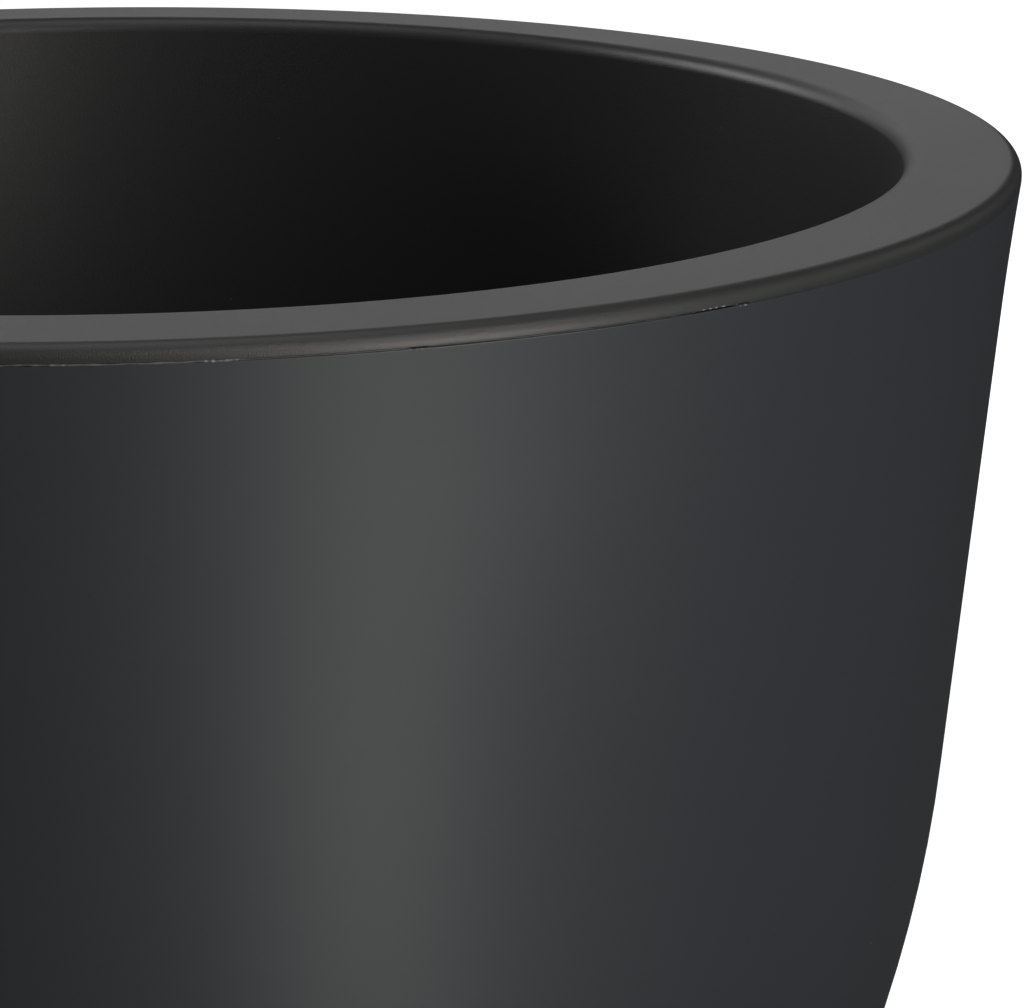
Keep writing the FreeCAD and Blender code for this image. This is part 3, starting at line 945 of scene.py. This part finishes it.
def stretch(bearing, start, end, soft):
    """One between two bearings and zero outside, with a slope of some degrees at each end."""
    return np.clip((bearing - start) / soft, 0, 1) * np.clip((end - bearing) / soft, 0, 1)


def softened(angle, power):
    """Cosine and sine drawn out towards a box: sign(v) |v|^power."""
    wave = np.stack([np.cos(angle), np.sin(angle)])
    return np.sign(wave) * np.abs(wave) ** power


def flash_course(bearing):
    """At each bearing: how far the strip stands out, its half height, its shift upwards and its painted highlight."""
    count = len(bearing)
    patches = np.clip(wandering(count, 5, 30, 5), 0, 1)
    lumps = np.clip(wandering(count, 60, 500, 9), -0.8, 2.2)
    nicks = np.clip(wandering(count, 400, 1400, 11), 0, 2.4)
    proud = np.maximum(stretch(bearing, *pale_line), 0.5 * patches * stretch(np.abs(bearing), *far_side))
    burrs = np.maximum(stretch(bearing, *right_burrs), 0.5 * stretch(bearing, *left_burrs))
    shallow = stretch(bearing, *thin_gap) + 1.3 * stretch(bearing, *wider_gap)
    deep = np.maximum(stretch(bearing, *left_gap), stretch(bearing, *right_gap))
    upper_lip = stretch(bearing, *upper_burrs)
    lower_lip = np.maximum(stretch(bearing, *right_lower_burrs), stretch(bearing, *left_lower_burrs))
    lips = upper_lip + lower_lip
    recess = shallow_depth * shallow * np.clip(1 + 0.6 * lumps, 0, 2) + deep_depth * deep
    out = flush + proud_reach * proud * (1 + lump_share * lumps) + burr_reach * burrs * nicks
    out = out + burr_reach * lips * (0.5 + nicks) - (1 - lips) * recess
    half = flash_half * (1 + 0.15 * proud * lumps + 0.35 * burrs * nicks)
    shift = waver_reach * wandering(count, 20, 220, 13) * proud + lip_shift * (upper_lip - lower_lip)
    # Painted highlight: paleness for the proud line and for the burrs and lips that catch light
    pale = proud_painted_highlight * proud * (1 + lump_share * lumps) + burr_painted_highlight * burrs * nicks + lip_painted_highlight * lips * nicks
    return out, half, shift, np.clip(pale, 0, 1)


def flash_strip():
    """Points (r0 + a(t) (1 + C(p)) / 2, z0 + w(t) + h(t) S(p)) round a softened box section, where a(t) is how far
    the strip reaches from its back r0. Returns the shape and the painted highlight at each point."""
    turn = np.arange(flash_steps) * 2 * np.pi / flash_steps
    bearing = np.degrees(np.angle(np.exp(1j * (turn + np.pi / 2))))
    out, half, shift, pale = flash_course(bearing)
    phase = np.arange(flash_sides)[:, None] * 2 * np.pi / flash_sides
    soft_cos, soft_sin = softened(phase, flash_power)
    radius = flash_back + (rim_radius + out - flash_back) * (1 + soft_cos) / 2
    height = flange_underside - seam_gap / 2 + shift + half * soft_sin
    points = np.stack([radius * np.cos(turn), radius * np.sin(turn), height], axis=-1)
    painted_highlight = np.broadcast_to(pale, radius.shape)
    return (points.reshape(-1, 3), grid_quads(flash_sides, flash_steps, wrap_rows=True)), painted_highlight.ravel()


# The flash strip carries painted highlight in its colour along the pale line and the burrs
strip, painted_flash_highlight = flash_strip()
piece("joint_flash", strip, "insert", ["planting_insert"], flash_with_painted_highlight, 180, painted_flash_highlight)

# %% [markdown]
# The drainage grid is a loose disc that keeps soil off the floor. Three rings of radial slots let the water
# through, two finger holes in the hub lift it out, a turned-down rim stiffens it, and six legs carry it.

# %% Drainage grid
grid_top = 0.0595
grid_under = 0.057
grid_rim_bottom = 0.053
grid_clearance = 0.0015
grid_rim_wall = 0.003
grid_radius = float(side_radius(grid_rim_bottom, insert_inset, False)) - grid_clearance
grid_inside = grid_radius - grid_rim_wall
grid_hub = 0.032
finger_reach = 0.017
finger_radius = 0.0095
finger_edge = 0.0008
finger_count = 2
finger_steps = 24
grid_segments = 384
slot_counts = (16, 24, 32)
slot_steps = 10
slot_gap = 0.006
slot_half = 0.002
slot_band = (grid_inside - grid_hub) / len(slot_counts)
slot_length = slot_band / 2 - slot_gap / 2 - slot_half


def grid_rim_section():
    """The turned-down rim, from the disc's underside round its lower and outer edges to the top."""
    stops = [
        (grid_inside, grid_under), (grid_inside, grid_rim_bottom), (grid_radius, grid_rim_bottom),
        (grid_radius, grid_top), (grid_inside, grid_top),
    ]
    return outline(runs(stops), [0.0005, 0.0005, 0.0016, 0], [4, 4, 7, 5], closed=False)


def slot_rings():
    """One pierced ring for each circle of slots, from the hub outwards."""
    starts = grid_hub + slot_band * np.arange(len(slot_counts))
    return [
        pierced_ring(start, start + slot_band, count, grid_under, grid_top,
                     (start + slot_band / 2, slot_length, slot_half), grid_segments // count, slot_steps, hole_edge)
        for start, count in zip(starts, slot_counts)
    ]


hub = pierced_ring(
    0, grid_hub, finger_count, grid_under, grid_top, (finger_reach, 0, finger_radius), grid_segments // finger_count,
    finger_steps, finger_edge)
disc = join(lathe(grid_rim_section(), grid_segments, wrap=False), *slot_rings(), hub)
piece("grid_disc", disc, "grid", ["drainage_grid"], black_plastic)

# %% [markdown]
# Six legs hold the grid off the floor, so that water can run to the drain holes under it. Each is a peg that thins
# towards its foot to leave the mould, and its top is sunk into the disc. One turned section, copied round, keeps
# them all alike.

# %% Grid legs
leg_circle = grid_hub + 1.5 * slot_band
leg_draft = math.radians(4)
leg_count = 6
leg_first_deg = 7.5
leg_sink = 0.0012
leg_top = 0.0055
leg_tip = leg_top - math.tan(leg_draft) * (grid_under - floor_top)
leg_end = grid_under + leg_sink
leg_stops = [(0, floor_top), (leg_tip, floor_top), (leg_top, leg_end), (0, leg_end)]
leg_section = outline(runs(leg_stops), [0.0006, 0.0001, 0], [5, 8, 3], closed=False)
legs = around(lathe(leg_section, 48, wrap=False, centre=(leg_circle, 0)), leg_count, leg_first_deg)
piece("grid_legs", legs, "grid", ["drainage_grid"], black_plastic)

# %% [markdown]
# The bung screws into the drain in the shell's floor. Its stem carries a thread of three turns, three
# millimetres apart, which is also how far the bung rises with each turn. The thread is a groove in the turned
# section: its depth follows the height less the share of a turn, so it climbs as it goes round.

# %% Drain bung
bung_seat = 0.0145
bung_top = 0.0175
bung_flange = 0.020
stem_radius = 0.0127
stem_bore = 0.0102
stem_bottom = 0.0055
thread_pitch = 0.003
thread_depth = 0.0007
thread_bottom = stem_bottom + 0.0008
thread_top = bung_seat - 0.001
thread_fade = 0.001


def bung_section():
    """From the middle of the hollow stem's ceiling down the bore, up the stem, out and over the flange."""
    stops = [
        (0, bung_seat), (stem_bore, bung_seat), (stem_bore, stem_bottom), (stem_radius, stem_bottom),
        (stem_radius, bung_seat), (bung_flange, bung_seat), (bung_flange, bung_top), (0, bung_top),
    ]
    reaches = [0.0008, 0.0004, 0.0006, 0.0004, 0.0003, 0.0011, 0]
    return outline(runs(stops), reaches, [5, 8, 4, 90, 6, 5, 12], closed=False)


def bung_surface(segments=240):
    """A lathe whose stem is grooved: r = section - depth * groove(z / pitch - a / turn) * fade(z). The groove
    is a trapezoid wave, and fade brings it to nothing at both ends of the stem."""
    points, quads = lathe(bung_section(), segments, wrap=False)
    radius, height = np.hypot(points[:, 0], points[:, 1]), points[:, 2]
    turn = np.arctan2(points[:, 1], points[:, 0]) / (2 * np.pi)
    wave = np.abs(2 * ((height / thread_pitch - turn) % 1) - 1)
    groove = np.clip(2.4 * wave - 0.7, 0, 1)
    fade = np.clip((height - thread_bottom) / thread_fade, 0, 1) * np.clip((thread_top - height) / thread_fade, 0, 1)
    on_stem = np.abs(radius - stem_radius) < 1e-5
    scale = 1 - np.where(on_stem, thread_depth * groove * fade / np.maximum(radius, 1e-6), 0)
    return points * np.stack([scale, scale, np.ones_like(scale)], axis=1), quads


piece("bung_body", bung_surface(), "bung", ["drain_bung"], dark_plastic)

# %% [markdown]
# A thumb bar on the flange turns the bung. It has a waist, so that wet fingers find a hold, and a round top. A cube
# with a bevel would give the same edges but no waist, so its plan is a formula and its height a short profile.

# %% Bung grip
grip_half = 0.0127
grip_thick = 0.0025
grip_root = 0.0160
grip_middle = 0.0200
grip_top = 0.0245
grip_round = 0.0012
grip_draft = 0.0002
grip_power = 0.55


def grip_surface(around_steps=160):
    """A thumb bar: a rounded plan (x = a C, y = b S, with C and S softened powers of cos and sin) that narrows
    at its waist, raised with a slight draft, rounded over at the top and closed on its middle."""
    turn = np.arange(around_steps) * 2 * np.pi / around_steps
    plan_x, plan_y = softened(turn, grip_power)
    plan_y = plan_y * (0.70 + 0.30 * plan_x ** 2)
    bend = np.radians(np.linspace(0, 90, 7))
    inset = np.concatenate([[0, grip_draft / 2, grip_draft], grip_draft + grip_round * (1 - np.cos(bend))])
    rise = np.concatenate([[grip_root, bung_top, grip_middle], grip_top - grip_round + grip_round * np.sin(bend)])
    close = np.concatenate([np.ones(len(inset)), [0.66, 0.33, 0]])
    inset = np.concatenate([inset, np.full(3, inset[-1])])[:, None]
    rise = np.concatenate([rise, np.full(3, grip_top)])
    points = np.empty((len(rise), around_steps, 3))
    points[..., 0] = plan_x * (grip_half - inset) * close[:, None]
    points[..., 1] = plan_y * (grip_thick - inset) * close[:, None]
    points[..., 2] = rise[:, None]
    floor_row = points[:1] * [0, 0, 1]
    points = np.concatenate([floor_row, points])
    return points.reshape(-1, 3), grid_quads(len(points), around_steps)


piece("bung_grip", grip_surface(), "bung", ["drain_bung"], dark_plastic)

# %% [markdown]
# A soft ring seals the bung, and four soft pads stop the pot from sliding and let air under it.
# The ring has round corners, as a moulded seal has. The pads have shallow grooves underneath that grip the floor.
# Each is one turned section: modelled as plain discs, they would lose the grooves that show when the pot is lifted.

# %% Gasket and foot pads
gasket_radius = 0.0185
gasket_round = 0.0007
pad_flat = 0.0072
groove_depth = 0.00035
groove_pitch = 0.0024
groove_end = 0.0070
groove_fade = 0.001


def gasket_section():
    """A flat ring section with round corners."""
    corners = [
        (drain_radius, base_top), (gasket_radius, base_top), (gasket_radius, bung_seat), (drain_radius, bung_seat),
    ]
    return outline(runs(corners + corners[:1]), [gasket_round] * 4, [5, 4, 5, 4])


def pad_section():
    """From the middle of the underside out: grooves z = depth (1 + cos(2 pi r / pitch)) / 2 fade to a flat edge,
    then a round edge, the side and the top."""
    out = np.linspace(0, pad_flat, 60)
    fade = np.clip((groove_end - out) / groove_fade, 0, 1)
    groove = groove_depth * (1 + np.cos(2 * np.pi * out / groove_pitch)) / 2 * fade
    under = np.stack([out, groove], axis=1)
    side = runs([(pad_flat, 0), (pad_radius, 0), (pad_radius, pad_seat), (0, pad_seat)])
    rest = outline(side, [0.0008, 0.0003, 0], [3, 6, 4], closed=False)
    return np.concatenate([under, rest[1:]])


piece("gasket", lathe(gasket_section(), 144), "gasket", ["bung_gasket"], gasket_rubber)
pad = lathe(pad_section(), small_segments, wrap=False, centre=(pad_circle, 0))
for index in range(4):
    turned = around(pad, 1, 90.0 * index)
    piece(f"pad_{index + 1}", turned, "shell", [f"foot_pad_{index + 1}"], pad_rubber)

# %% [markdown]
# The Standard view shows a colour about as it is written, where a film-like view would grey it.

# %% Finish
bpy.context.scene.view_settings.view_transform = "Standard"
